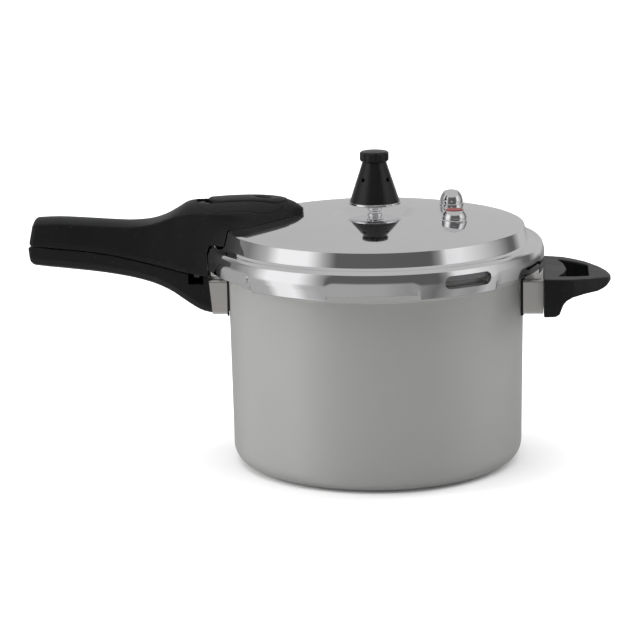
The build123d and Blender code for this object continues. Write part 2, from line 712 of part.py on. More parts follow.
with BuildPart() as weight_cap:
    with BuildSketch(Plane.XZ):
        with BuildLine():
            Polyline((0, cone_top + 0.1), (9.4, cone_top + 0.1), (10.75, 225.9), (10.75, 231.2),
                     (9.6, 232.2))
            ThreePointArc((9.6, 232.2), (5, 232.85), (1, cap_top))
            Polyline((1, cap_top), (0, cap_top), (0, cone_top + 0.1))
        make_face()
    revolve(axis=Axis.Z)
    with PolarLocations(13.4, cap_lobes):
        Cylinder(3.4, 500, mode=Mode.SUBTRACT)
    with Locations((0, 0, 220)):
        Cylinder(1.65, 8.6, align=(Align.CENTER, Align.CENTER, Align.MIN), mode=Mode.SUBTRACT)
weight_cap.part.label = "weight_cap"
export_step(weight_cap.part, "parts/weight_cap.step")


# ---- the two valves through the lid
def make_valve_washer(x, y):
    with BuildPart() as washer:
        with Locations((x, y, 181.0)):
            Cylinder(9.2, 2.6, align=(Align.CENTER, Align.CENTER, Align.MIN))
            Cylinder(5.0, 10, mode=Mode.SUBTRACT)
        add(lid_shell.part, mode=Mode.SUBTRACT)
    return washer


def make_valve_nut(x, y):
    with BuildPart() as nut:
        with BuildSketch(Plane.XY.offset(176.9)):
            with Locations((x, y)):
                RegularPolygon(8.4, 6)
                Circle(4.95, mode=Mode.SUBTRACT)
        extrude(amount=4.05)
    return nut


def valve_axis_plane(x, y):
    return Plane(origin=(x, y, 0), x_dir=(1, 0, 0), z_dir=(0, -1, 0))


x, y = indicator_place
with BuildPart() as indicator_body:
    with BuildSketch(valve_axis_plane(x, y)):
        with BuildLine():
            Polyline((2.7, 176.4), (4.9, 176.4), (4.9, 183.8), (9.5, 183.8), (9.5, 186.3),
                     (9.0, 186.7))
            Spline((9.0, 186.7), (9.2, 188.2), (8.7, 190.6), (7.3, 193.1))
            Polyline((7.3, 193.1), (6.7, 193.4), (6.6, 187.4), (2.7, 187.4), (2.7, 176.4))
        make_face()
    revolve(axis=Axis((x, y, 0), (0, 0, 1)))
    add(lid_shell.part, mode=Mode.SUBTRACT)
indicator_body.part.label = "indicator_body"
export_step(indicator_body.part, "parts/indicator_body.step")

with BuildPart() as indicator_pin:
    with Locations((x, y, 187.7)):
        Cylinder(6.3, 6.3, align=(Align.CENTER, Align.CENTER, Align.MIN))
    with Locations((x, y, 170.4)):
        Cylinder(2.4, 17.6, align=(Align.CENTER, Align.CENTER, Align.MIN))
    fillet(indicator_pin.edges().sort_by(Axis.Z)[-1], 0.7)
indicator_pin.part.label = "indicator_pin"
export_step(indicator_pin.part, "parts/indicator_pin.step")

with BuildPart() as indicator_seal:
    with Locations((x, y, 169.4)):
        Cylinder(5.6, 2.4, align=(Align.CENTER, Align.CENTER, Align.MIN))
    with Locations((x, y, 170.4)):
        Cylinder(2.4, 5, align=(Align.CENTER, Align.CENTER, Align.MIN), mode=Mode.SUBTRACT)
indicator_seal.part.label = "indicator_seal"
export_step(indicator_seal.part, "parts/indicator_seal.step")

indicator_washer = make_valve_washer(x, y)
indicator_washer.part.label = "indicator_washer"
export_step(indicator_washer.part, "parts/indicator_washer.step")

indicator_nut = make_valve_nut(x, y)
indicator_nut.part.label = "indicator_nut"
export_step(indicator_nut.part, "parts/indicator_nut.step")

x, y = relief_place
with BuildPart() as relief_body:
    with BuildSketch(valve_axis_plane(x, y)):
        with BuildLine():
            Polyline((3.0, 174.4), (4.9, 174.4), (4.9, 184.2), (9.2, 184.2), (9.2, 187.0),
                     (8.8, 187.4), (3.0, 187.4), (3.0, 174.4))
        make_face()
    revolve(axis=Axis((x, y, 0), (0, 0, 1)))
    add(lid_shell.part, mode=Mode.SUBTRACT)
relief_body.part.label = "relief_body"
export_step(relief_body.part, "parts/relief_body.step")

with BuildPart() as relief_cap:
    with BuildSketch(valve_axis_plane(x, y)):
        with BuildLine():
            Line((7.0, 187.45), (8.5, 187.45))
            Spline((8.5, 187.45), (8.6, 189.8), (7.6, 193.4), (5.6, 196.3))
            ThreePointArc((5.6, 196.3), (2.9, 197.2), (0.8, 197.5))
            Polyline((0.8, 197.5), (0, 197.5), (0, 195.2), (4.6, 195.2), (6.0, 193.2),
                     (7.0, 190.0), (7.0, 187.45))
        make_face()
    revolve(axis=Axis((x, y, 0), (0, 0, 1)))
relief_cap.part.label = "relief_cap"
export_step(relief_cap.part, "parts/relief_cap.step")

with BuildPart() as relief_plunger:
    with Locations((x, y, 187.8)):
        Cylinder(5.6, 2.0, align=(Align.CENTER, Align.CENTER, Align.MIN))
    with Locations((x, y, 178)):
        Cylinder(2.7, 10, align=(Align.CENTER, Align.CENTER, Align.MIN))
relief_plunger.part.label = "relief_plunger"
export_step(relief_plunger.part, "parts/relief_plunger.step")

with BuildPart() as relief_spring:
    with BuildLine():
        coil = Helix(pitch=1.3, height=3.9, radius=3.6, center=(x, y, 190.5))
    with BuildSketch(Plane(origin=coil @ 0, z_dir=coil % 0)):
        Circle(0.35)
    sweep()
relief_spring.part.label = "relief_spring"
export_step(relief_spring.part, "parts/relief_spring.step")

relief_washer = make_valve_washer(x, y)
relief_washer.part.label = "relief_washer"
export_step(relief_washer.part, "parts/relief_washer.step")

relief_nut = make_valve_nut(x, y)
relief_nut.part.label = "relief_nut"
export_step(relief_nut.part, "parts/relief_nut.step")
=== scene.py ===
import json
import math

import bmesh
import bpy
import numpy as np
from mathutils import Matrix, Vector


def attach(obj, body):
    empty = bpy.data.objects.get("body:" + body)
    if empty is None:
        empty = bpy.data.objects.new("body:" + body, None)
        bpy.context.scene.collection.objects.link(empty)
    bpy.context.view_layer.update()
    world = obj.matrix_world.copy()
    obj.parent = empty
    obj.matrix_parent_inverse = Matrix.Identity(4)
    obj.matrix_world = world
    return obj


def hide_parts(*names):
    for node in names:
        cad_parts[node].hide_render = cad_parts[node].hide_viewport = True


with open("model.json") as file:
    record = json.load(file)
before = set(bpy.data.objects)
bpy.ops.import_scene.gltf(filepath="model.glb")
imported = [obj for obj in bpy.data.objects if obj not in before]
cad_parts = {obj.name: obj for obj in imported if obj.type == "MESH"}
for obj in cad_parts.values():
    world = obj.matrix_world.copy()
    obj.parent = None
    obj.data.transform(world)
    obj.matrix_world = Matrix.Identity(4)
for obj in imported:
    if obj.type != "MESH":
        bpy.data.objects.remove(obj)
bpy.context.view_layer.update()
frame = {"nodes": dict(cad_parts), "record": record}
nodes = frame["nodes"]
print("frame loaded:", len(nodes), "nodes")


# camera
cameraSettings = {"lens": 146.25, "distance": 1.948, "elevation": 12.56, "azimuth": 4.5,
                  "roll": -1.01, "aimLeft": -0.0422, "aimHeight": 0.1052}


def addCamera(s):
    az, el, roll = (math.radians(s[k]) for k in ("azimuth", "elevation", "roll"))
    right = Vector((math.cos(az), math.sin(az), 0))
    back = Vector((math.sin(az) * math.cos(el), -math.cos(az) * math.cos(el), math.sin(el)))
    up = back.cross(right)
    aim = right * s["aimLeft"] + Vector((0, 0, s["aimHeight"]))
    xAxis = right * math.cos(roll) + up * math.sin(roll)
    yAxis = up * math.cos(roll) - right * math.sin(roll)
    place = aim + back * s["distance"]
    camera = bpy.data.objects.new("camera", bpy.data.cameras.new("camera"))
    camera.data.lens = s["lens"]
    camera.data.sensor_width = 36
    camera.data.clip_end = 50
    camera.matrix_world = Matrix((
        (xAxis.x, yAxis.x, back.x, place.x), (xAxis.y, yAxis.y, back.y, place.y),
        (xAxis.z, yAxis.z, back.z, place.z), (0, 0, 0, 1)))
    bpy.context.scene.collection.objects.link(camera)
    bpy.context.scene.camera = camera


addCamera(cameraSettings)


# node helpers
def wire(tree, source, target):
    tree.links.new(source, target)


def mathNode(tree, kind, a, b=None, clamp=False):
    n = tree.nodes.new("ShaderNodeMath")
    n.operation = kind
    n.use_clamp = clamp
    for i, v in enumerate((a, b)):
        if v is None:
            continue
        if isinstance(v, (int, float)):
            n.inputs[i].default_value = v
        else:
            wire(tree, v, n.inputs[i])
    return n.outputs[0]


def rangeNode(tree, value, low, high, toLow=0.0, toHigh=1.0, smooth=True):
    n = tree.nodes.new("ShaderNodeMapRange")
    n.interpolation_type = "SMOOTHSTEP" if smooth else "LINEAR"
    wire(tree, value, n.inputs["Value"])
    for name, v in (("From Min", low), ("From Max", high), ("To Min", toLow), ("To Max", toHigh)):
        n.inputs[name].default_value = v
    return n.outputs["Result"]


def noiseNode(tree, vector, scale, detail=3.0, roughness=0.5):
    n = tree.nodes.new("ShaderNodeTexNoise")
    wire(tree, vector, n.inputs["Vector"])
    n.inputs["Scale"].default_value = scale
    n.inputs["Detail"].default_value = detail
    n.inputs["Roughness"].default_value = roughness
    return n.outputs["Fac"]


def mixColour(tree, share, a, b):
    n = tree.nodes.new("ShaderNodeMix")
    n.data_type = "RGBA"
    if isinstance(share, (int, float)):
        n.inputs[0].default_value = share
    else:
        wire(tree, share, n.inputs[0])
    for slotIndex, v in ((6, a), (7, b)):
        if isinstance(v, tuple):
            n.inputs[slotIndex].default_value = (*v[:3], 1)
        else:
            wire(tree, v, n.inputs[slotIndex])
    return n.outputs[2]


def newGroup(name, inputs, outputs):
    g = bpy.data.node_groups.new(name, "ShaderNodeTree")
    for label, kind, value in inputs:
        socket = g.interface.new_socket(label, in_out="INPUT", socket_type=kind)
        if value is not None:
            socket.default_value = value
    for label, kind in outputs:
        g.interface.new_socket(label, in_out="OUTPUT", socket_type=kind)
    return g, g.nodes.new("NodeGroupInput"), g.nodes.new("NodeGroupOutput")


def useGroup(tree, group, values):
    n = tree.nodes.new("ShaderNodeGroup")
    n.node_tree = group
    for label, v in values.items():
        if isinstance(v, tuple):
            n.inputs[label].default_value = (*v, 1)
        elif isinstance(v, (int, float)):
            n.inputs[label].default_value = v
        else:
            wire(tree, v, n.inputs[label])
    return n


# studio
studioSettings = {
    "fill": 0.35, "ceiling": 0.50, "shotSize": 30.0, "sun": 2.9,
    # compass angle from the front, brightness: what shiny parts see above the table, then below its level
    "panels": [(-180, 0.50), (-140, 0.46), (-125, 0.23), (-107, 0.20), (-87, 0.46), (-75, 0.95), (-50, 0.95),
               (-37, 0.40), (-27, 0.11), (46, 0.10), (53, 0.28), (59, 0.78), (70, 0.84), (90, 0.60), (110, 0.34),
               (123, 0.13), (130, 0.12), (142, 0.52), (180, 0.50)],
    "table": [(-180, 0.45), (-138, 0.10), (-125, 0.36), (-78, 0.42), (-70, 0.88), (-56, 0.92), (-47, 0.50),
              (-36, 0.38), (8, 0.36), (30, 0.26), (45, 0.15), (62, 0.34), (78, 0.28), (88, 0.50), (108, 0.34),
              (128, 0.14), (145, 0.10), (180, 0.45)],
    # name, compass angle from the front, distance, height, size, power
    "lamps": [("leftSoftbox", -92, 2.2, 0.75, 1.4, 46), ("rightSoftbox", 125, 2.2, 0.7, 1.2, 40)]}


def panelRamp(tree, compass, stops):
    ramp = tree.nodes.new("ShaderNodeValToRGB")
    wire(tree, rangeNode(tree, compass, -math.pi, math.pi, smooth=False), ramp.inputs["Fac"])
    for angle, level in stops[1:-1]:
        ramp.color_ramp.elements.new((angle + 180) / 360).color = (level, level, level, 1)
    for end, (angle, level) in ((0, stops[0]), (-1, stops[-1])):
        ramp.color_ramp.elements[end].color = (level, level, level, 1)
    return ramp.outputs["Color"]


def addStudio(s):
    scene = bpy.context.scene
    scene.view_settings.view_transform = "Standard"
    scene.world = bpy.data.worlds.new("studio")
    scene.world.use_nodes = True
    tree = scene.world.node_tree
    tree.nodes.clear()
    path = tree.nodes.new("ShaderNodeLightPath")
    coord = tree.nodes.new("ShaderNodeTexCoord")
    parts = tree.nodes.new("ShaderNodeSeparateXYZ")
    wire(tree, coord.outputs["Generated"], parts.inputs[0])
    x, y, z = (parts.outputs[k] for k in "XYZ")
    compass = mathNode(tree, "ARCTAN2", x, mathNode(tree, "MULTIPLY", y, -1))
    # shiny parts see white panels with dark gaps between them, under one even ceiling
    sides = mixColour(tree, rangeNode(tree, z, -0.16, -0.06), panelRamp(tree, compass, s["table"]),
                      panelRamp(tree, compass, s["panels"]))
    glossy = mixColour(tree, rangeNode(tree, z, 0.47, 0.60), sides, (s["ceiling"],) * 3)
    seen = mixColour(tree, path.outputs["Is Glossy Ray"], (s["fill"],) * 3, glossy)
    seen = mixColour(tree, path.outputs["Is Camera Ray"], seen, (1, 1, 1))
    background = tree.nodes.new("ShaderNodeBackground")
    wire(tree, seen, background.inputs["Color"])
    output = tree.nodes.new("ShaderNodeOutputWorld")
    wire(tree, background.outputs[0], output.inputs["Surface"])

    for name, compassAngle, distance, height, size, power in s["lamps"]:
        data = bpy.data.lights.new(name, "AREA")
        data.shape, data.size, data.energy = "SQUARE", size, power
        a = math.radians(compassAngle)
        addLamp(data, Vector((distance * math.sin(a), -distance * math.cos(a), height)))
    sun = bpy.data.lights.new("ceilingLight", "SUN")
    sun.energy, sun.angle = s["sun"], math.radians(70)
    addLamp(sun, Vector((0, 0, 3)))

    half = s["shotSize"] / 2
    mesh = bpy.data.meshes.new("floor")
    corners = [(-half, -half, 0), (half, -half, 0), (half, half, 0), (-half, half, 0)]
    mesh.from_pydata(corners, [], [(0, 1, 2, 3)])
    floor = bpy.data.objects.new("floor", mesh)
    floor.location.z = -0.0002
    floor.visible_glossy = False
    bpy.context.scene.collection.objects.link(floor)
    paper = bpy.data.materials.new("floorPaper")
    paper.use_nodes = True
    shader = paper.node_tree.nodes["Principled BSDF"]
    shader.inputs["Base Color"].default_value = (0.93, 0.93, 0.93, 1)
    shader.inputs["Roughness"].default_value = 0.9
    shader.inputs["Specular IOR Level"].default_value = 0.1
    mesh.materials.append(paper)


def addLamp(data, place):
    lamp = bpy.data.objects.new(data.name, data)
    lamp.location = place
    lamp.rotation_euler = (Vector((0, 0, 0.1)) - place).to_track_quat("-Z", "Y").to_euler()
    lamp.visible_glossy = False
    lamp.visible_camera = False
    bpy.context.scene.collection.objects.link(lamp)


addStudio(studioSettings)
print("studio ready")


# shared effects
def buildEdgeWear():
    g, i, o = newGroup("edgeWear", [("Width", "NodeSocketFloat", 0.0006), ("Breakup", "NodeSocketFloat", 600.0)],
                       [("Mask", "NodeSocketFloat")])
    geo = g.nodes.new("ShaderNodeNewGeometry")
    bevel = g.nodes.new("ShaderNodeBevel")
    bevel.samples = 4
    wire(g, i.outputs["Width"], bevel.inputs["Radius"])
    dot = g.nodes.new("ShaderNodeVectorMath")
    dot.operation = "DOT_PRODUCT"
    wire(g, bevel.outputs[0], dot.inputs[0])
    wire(g, geo.outputs["Normal"], dot.inputs[1])
    edge = mathNode(g, "SUBTRACT", 1.0, dot.outputs["Value"])
    coord = g.nodes.new("ShaderNodeTexCoord")
    noise = noiseNode(g, coord.outputs["Object"], 300.0)
    wire(g, i.outputs["Breakup"], noise.node.inputs["Scale"])
    mask = mathNode(g, "MULTIPLY", edge, rangeNode(g, noise, 0.35, 0.65, 0.4, 1.0))
    wire(g, rangeNode(g, mask, 0.02, 0.16), o.inputs["Mask"])
    return g


def buildSpunGrain():
    # fine circles about the axis, from the lathe or the buffing wheel
    g, i, o = newGroup("spunGrain", [("Vector", "NodeSocketVector", None), ("Fineness", "NodeSocketFloat", 1400.0),
                                     ("Depth", "NodeSocketFloat", 0.1), ("Height Lines", "NodeSocketFloat", 1.0)],
                       [("Value", "NodeSocketFloat"), ("Normal", "NodeSocketVector")])
    parts = g.nodes.new("ShaderNodeSeparateXYZ")
    wire(g, i.outputs["Vector"], parts.inputs[0])
    x, y, z = (parts.outputs[k] for k in "XYZ")
    radius = mathNode(g, "SQRT", mathNode(g, "ADD", mathNode(g, "MULTIPLY", x, x), mathNode(g, "MULTIPLY", y, y)))
    angle = mathNode(g, "ARCTAN2", y, x)
    join = g.nodes.new("ShaderNodeCombineXYZ")
    wire(g, mathNode(g, "MULTIPLY", radius, i.outputs["Fineness"]), join.inputs["X"])
    wire(g, mathNode(g, "MULTIPLY", angle, 1.2), join.inputs["Y"])
    wire(g, mathNode(g, "MULTIPLY", mathNode(g, "MULTIPLY", z, i.outputs["Fineness"]), i.outputs["Height Lines"]),
         join.inputs["Z"])
    n = noiseNode(g, join.outputs[0], 1.0, 4.0, 0.6)
    bump = g.nodes.new("ShaderNodeBump")
    bump.inputs["Distance"].default_value = 0.0001
    wire(g, i.outputs["Depth"], bump.inputs["Strength"])
    wire(g, n, bump.inputs["Height"])
    wire(g, n, o.inputs["Value"])
    wire(g, bump.outputs[0], o.inputs["Normal"])
    return g


def buildStipple():
    g, i, o = newGroup("stipple", [("Size", "NodeSocketFloat", 1400.0), ("Depth", "NodeSocketFloat", 0.2),
                                   ("Patchiness", "NodeSocketFloat", 45.0)],
                       [("Value", "NodeSocketFloat"), ("Normal", "NodeSocketVector")])
    coord = g.nodes.new("ShaderNodeTexCoord")
    fine = noiseNode(g, coord.outputs["Object"], 1400.0, 2.0, 0.6)
    wire(g, i.outputs["Size"], fine.node.inputs["Scale"])
    patch = noiseNode(g, coord.outputs["Object"], 45.0, 2.0, 0.5)
    wire(g, i.outputs["Patchiness"], patch.node.inputs["Scale"])
    bump = g.nodes.new("ShaderNodeBump")
    bump.inputs["Distance"].default_value = 0.0003
    wire(g, i.outputs["Depth"], bump.inputs["Strength"])
    wire(g, fine, bump.inputs["Height"])
    wire(g, mathNode(g, "ADD", mathNode(g, "MULTIPLY", fine, 0.5), mathNode(g, "MULTIPLY", patch, 0.5)),
         o.inputs["Value"])
    wire(g, bump.outputs[0], o.inputs["Normal"])
    return g


def buildHandling():
    # faint wipes, smears and dust that vary slowly over a surface
    g, i, o = newGroup("handling", [("Scale", "NodeSocketFloat", 25.0), ("Dust", "NodeSocketFloat", 0.3)],
                       [("Smear", "NodeSocketFloat"), ("Dust", "NodeSocketFloat")])
    coord = g.nodes.new("ShaderNodeTexCoord")
    a = noiseNode(g, coord.outputs["Object"], 25.0, 5.0, 0.6)
    wire(g, i.outputs["Scale"], a.node.inputs["Scale"])
    b = noiseNode(g, coord.outputs["Object"], 900.0, 2.0, 0.5)
    wire(g, rangeNode(g, a, 0.35, 0.7), o.inputs["Smear"])
    wire(g, mathNode(g, "MULTIPLY", rangeNode(g, b, 0.68, 0.76), i.outputs["Dust"]), o.inputs["Dust"])
    return g


edgeWear, spunGrain, stipple, handling = buildEdgeWear(), buildSpunGrain(), buildStipple(), buildHandling()


# materials
def startMaterial(name, **sockets):
    material = bpy.data.materials.new(name)
    material.use_nodes = True
    tree = material.node_tree
    shader = tree.nodes["Principled BSDF"]
    for label, v in sockets.items():
        socket = shader.inputs[label.replace("_", " ")]
        socket.default_value = (*v, 1) if isinstance(v, tuple) and len(v) == 3 else v
    return material, tree, shader


def objectVector(tree, centre=(0, 0, 0)):
    coord = tree.nodes.new("ShaderNodeTexCoord")
    shift = tree.nodes.new("ShaderNodeVectorMath")
    shift.operation = "SUBTRACT"
    wire(tree, coord.outputs["Object"], shift.inputs[0])
    shift.inputs[1].default_value = centre
    return shift.outputs[0]


def spunMetal(name, colour, dark, rough, grainDepth, fineness=1400.0, spread=0.1, centre=(0, 0, 0), lines=1.0):
    material, tree, shader = startMaterial(name, Metallic=1.0)
    grain = useGroup(tree, spunGrain, {"Vector": objectVector(tree, centre), "Fineness": fineness,
                                       "Depth": grainDepth, "Height Lines": lines})
    care = useGroup(tree, handling, {"Scale": 30.0, "Dust": 0.25})
    tint = mixColour(tree, mathNode(tree, "MULTIPLY", care.outputs["Smear"], 0.35), colour, dark)
    wire(tree, tint, shader.inputs["Base Color"])
    level = mathNode(tree, "ADD", rough, mathNode(tree, "MULTIPLY", grain.outputs["Value"], spread))
    level = mathNode(tree, "ADD", level, mathNode(tree, "MULTIPLY", care.outputs["Dust"], 0.25), clamp=True)
    wire(tree, level, shader.inputs["Roughness"])
    wire(tree, grain.outputs["Normal"], shader.inputs["Normal"])
    return material


def mouldedPlastic(name, colour, worn, rough, size, depth, coat=0.0, shine=0.5):
    material, tree, shader = startMaterial(name)
    shader.inputs["Coat Weight"].default_value = coat
    shader.inputs["Specular IOR Level"].default_value = shine
    shader.inputs["Coat Roughness"].default_value = 0.25
    grain = useGroup(tree, stipple, {"Size": size, "Depth": depth, "Patchiness": 30.0})
    wear = useGroup(tree, edgeWear, {"Width": 0.0005, "Breakup": 500.0})
    care = useGroup(tree, handling, {"Scale": 40.0, "Dust": 0.5})
    tint = mixColour(tree, mathNode(tree, "MULTIPLY", wear.outputs["Mask"], 0.5), colour, worn)
    tint = mixColour(tree, mathNode(tree, "MULTIPLY", care.outputs["Dust"], 0.25), tint, (0.35, 0.35, 0.36))
    wire(tree, tint, shader.inputs["Base Color"])
    level = mathNode(tree, "ADD", rough, mathNode(tree, "MULTIPLY", grain.outputs["Value"], 0.12))
    level = mathNode(tree, "SUBTRACT", level, mathNode(tree, "MULTIPLY", care.outputs["Smear"], 0.05), clamp=True)
    wire(tree, level, shader.inputs["Roughness"])
    wire(tree, grain.outputs["Normal"], shader.inputs["Normal"])
    return material


potSettings = {"paint": (0.36, 0.36, 0.35), "shade": (0.33, 0.33, 0.325), "bare": (0.62, 0.62, 0.61),
               "rough": 0.34}


def buildPotPaint(s):
    material, tree, shader = startMaterial("greySatinPaint", Coat_Weight=0.12, Coat_Roughness=0.3)
    grain = useGroup(tree, stipple, {"Size": 900.0, "Depth": 0.06, "Patchiness": 14.0})
    wear = useGroup(tree, edgeWear, {"Width": 0.0006, "Breakup": 300.0})
    care = useGroup(tree, handling, {"Scale": 12.0, "Dust": 0.3})
    tint = mixColour(tree, grain.outputs["Value"], s["paint"], s["shade"])
    tint = mixColour(tree, mathNode(tree, "MULTIPLY", wear.outputs["Mask"], 0.4), tint, s["bare"])
    wire(tree, tint, shader.inputs["Base Color"])
    level = mathNode(tree, "ADD", s["rough"], mathNode(tree, "MULTIPLY", grain.outputs["Value"], 0.14))
    level = mathNode(tree, "SUBTRACT", level, mathNode(tree, "MULTIPLY", care.outputs["Smear"], 0.04), clamp=True)
    wire(tree, level, shader.inputs["Roughness"])
    wire(tree, grain.outputs["Normal"], shader.inputs["Normal"])
    shader.inputs["Metallic"].default_value = 0.25
    return material


finishes = {
    "grey_paint": buildPotPaint(potSettings),
    "polished_aluminium": spunMetal("polishedLid", (0.90, 0.90, 0.91), (0.84, 0.84, 0.86), 0.03, 0.012,
                                    fineness=900.0, spread=0.05),
    "satin_steel": spunMetal("satinGuard", (0.90, 0.87, 0.84), (0.82, 0.79, 0.76), 0.28, 0.08, fineness=2200.0,
                             spread=0.12),
    "rivet_aluminium": spunMetal("rivetAluminium", (0.86, 0.86, 0.87), (0.78, 0.78, 0.8), 0.16, 0.05),
    "zinc_steel": spunMetal("zincSteel", (0.62, 0.63, 0.66), (0.5, 0.5, 0.52), 0.3, 0.1),
    "black_phenolic": mouldedPlastic("blackPhenolic", (0.0055, 0.0057, 0.0062), (0.05, 0.052, 0.056), 0.36, 1500.0,
                                     0.16, shine=0.32),
    "black_rubber": mouldedPlastic("blackRubber", (0.006, 0.006, 0.006), (0.03, 0.03, 0.03), 0.55, 800.0, 0.2),
    "grey_silicone": mouldedPlastic("greySilicone", (0.12, 0.12, 0.125), (0.3, 0.3, 0.3), 0.38, 700.0, 0.15),
    "chrome_plate": spunMetal("chromePlate", (0.88, 0.88, 0.89), (0.8, 0.8, 0.82), 0.05, 0.01, spread=0.04),
    "red_plastic": mouldedPlastic("redPlastic", (0.16, 0.008, 0.010), (0.3, 0.03, 0.03), 0.3, 1200.0, 0.1),
    "brass_metal": spunMetal("brass", (0.72, 0.5, 0.22), (0.55, 0.36, 0.16), 0.22, 0.08),
    "weight_black": mouldedPlastic("weightBlack", (0.006, 0.006, 0.0065), (0.04, 0.04, 0.042), 0.24, 1600.0, 0.06,
                                   shine=0.4),
    "core_steel": spunMetal("coreSteel", (0.5, 0.5, 0.52), (0.36, 0.35, 0.35), 0.34, 0.12),
}
slotOf = {e["node"]: e["material_slot"] for e in frame["record"]["subparts"]}
for name, item in nodes.items():
    finish = finishes.get(slotOf.get(name), finishes["zinc_steel"])
    item.data.materials.clear()
    item.data.materials.append(finish)
print("finishes assigned")


# mesh helpers, in millimetres until makePiece
def curveThrough(points, steps):
    # a smooth curve through the points, in any number of columns
    p = np.array(points, float)
    span = np.abs(np.diff(p, axis=0)).max(axis=1) if p.shape[1] < 3 else np.abs(np.diff(p[:, 0]))
    t = np.concatenate([[0], np.cumsum(np.maximum(span, 1e-6))])
    slope = np.gradient(p, t, axis=0)
    out = []
    for s in np.linspace(0, t[-1], steps):
        k = min(max(int(np.searchsorted(t, s)) - 1, 0), len(t) - 2)
        w = t[k + 1] - t[k]
        u = (s - t[k]) / w
        out.append((2 * u**3 - 3 * u**2 + 1) * p[k] + (u**3 - 2 * u**2 + u) * w * slope[k]
                   + (3 * u**2 - 2 * u**3) * p[k + 1] + (u**3 - u**2) * w * slope[k + 1])
    return np.array(out)


def softCorners(points, radii, closed=False, steps=6):
    # a polyline whose corners turn on arcs
    out = []
    count = len(points)
    for k in range(count):
        b = Vector(points[k])
        r = radii[k] if isinstance(radii, (list, tuple)) else radii
        if r <= 0 or (not closed and k in (0, count - 1)):
            out.append(tuple(b))
            continue
        a, c = Vector(points[k - 1]), Vector(points[(k + 1) % count])
        da, dc = (a - b).normalized(), (c - b).normalized()
        half = math.acos(max(-1, min(1, da.dot(dc)))) / 2
        if half > 1.54:
            out += [tuple(b)] * (steps + 1)
            continue
        cut = min(r / math.tan(half), 0.48 * (a - b).length, 0.48 * (c - b).length)
        r = cut * math.tan(half)
        centre = b + (da + dc).normalized() * (r / math.sin(half))
        start, end = b + da * cut - centre, b + dc * cut - centre
        sweep = start.angle_signed(end)
        for i in range(steps + 1):
            turn = -sweep * i / steps
            out.append(tuple(centre + Vector((start.x * math.cos(turn) - start.y * math.sin(turn),
                                              start.x * math.sin(turn) + start.y * math.cos(turn)))))
    return out


def makePiece(name, points, faces, slotName, body, stands=(), sharp=32, finish=None):
    mesh = bpy.data.meshes.new(name)
    mesh.from_pydata([(x / 1000, y / 1000, z / 1000) for x, y, z in points], [], faces)
    work = bmesh.new()
    work.from_mesh(mesh)
    bmesh.ops.remove_doubles(work, verts=work.verts, dist=1e-6)
    bmesh.ops.recalc_face_normals(work, faces=work.faces)
    work.to_mesh(mesh)
    work.free()
    piece = bpy.data.objects.new(name, mesh)
    bpy.context.scene.collection.objects.link(piece)
    mesh.materials.append(finish or finishes[slotName])
    if slotName:
        finishPiece(piece, body, stands, sharp)
    return piece


def finishPiece(piece, body, stands, sharp):
    for polygon in piece.data.polygons:
        polygon.use_smooth = True
    piece.data.set_sharp_from_angle(angle=math.radians(sharp))
    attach(piece, body)
    if stands:
        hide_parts(*stands)


def ringSkin(rings, closedEnds=False):
    # faces between rings that have the same number of points
    n, m = len(rings), len(rings[0])
    points = [tuple(p) for ring in rings for p in ring]
    faces = []
    for i in range(n if closedEnds else n - 1):
        for j in range(m):
            a, b = i * m + j, i * m + (j + 1) % m
            c, d = ((i + 1) % n) * m + (j + 1) % m, ((i + 1) % n) * m + j
            faces.append((a, b, c, d))
    if not closedEnds:
        faces.append(tuple(range(m - 1, -1, -1)))
        faces.append(tuple((n - 1) * m + j for j in range(m)))
    return points, faces


def spin(outline, segments):
    # outline of (radius, height) turned about an upright axis
    rings = []
    for k in range(segments):
        a = 2 * math.pi * k / segments
        rings.append([(r * math.cos(a), r * math.sin(a), z) for r, z in outline])
    return ringSkin(rings, closedEnds=True)


def prism(outline, low, high):
    ring = [[(x, y, z) for x, y in outline] for z in (low, high)]
    return ringSkin(ring)


def cutAway(piece, cutters):
    for cutter in cutters:
        step = piece.modifiers.new("cut", "BOOLEAN")
        step.operation, step.solver, step.object = "DIFFERENCE", "EXACT", cutter
    graph = bpy.context.evaluated_depsgraph_get()
    cleaned = bpy.data.meshes.new_from_object(piece.evaluated_get(graph))
    piece.modifiers.clear()
    piece.data = cleaned
    for cutter in cutters:
        bpy.data.objects.remove(cutter)


def stadium(centre, length, width, steps=24):
    half, reach = width / 2, (length - width) / 2
    side = [(centre[0] + reach + half * math.cos(a), centre[1] + half * math.sin(a))
            for a in np.linspace(-math.pi / 2, math.pi / 2, steps)]
    return side + [(2 * centre[0] - x, 2 * centre[1] - y) for x, y in side]


def cutterPiece(points, faces):
    return makePiece("cutter", points, faces, None, None, finish=finishes["black_phenolic"])


# lid
lid = {"crest": 33.0, "crestHeight": 187.0, "dimpleFloor": 181.5, "domeCurve": 330.0,
       "wall": 2.4, "lugs": 6, "lugPhase": 2.0, "lugAngle": 28.0,
       "windowAngle": -55.0, "windowHalf": 6.8, "windowMiddle": 155.8, "windowRadius": 4.7,
       "holes": [(0, 0), (59.7, -30.4), (55.8, 34.6)]}


def domeHeight(radius):
    run = max(radius - lid["crest"], 0)
    return lid["crestHeight"] - (lid["domeCurve"] - math.sqrt(lid["domeCurve"] ** 2 - run ** 2))


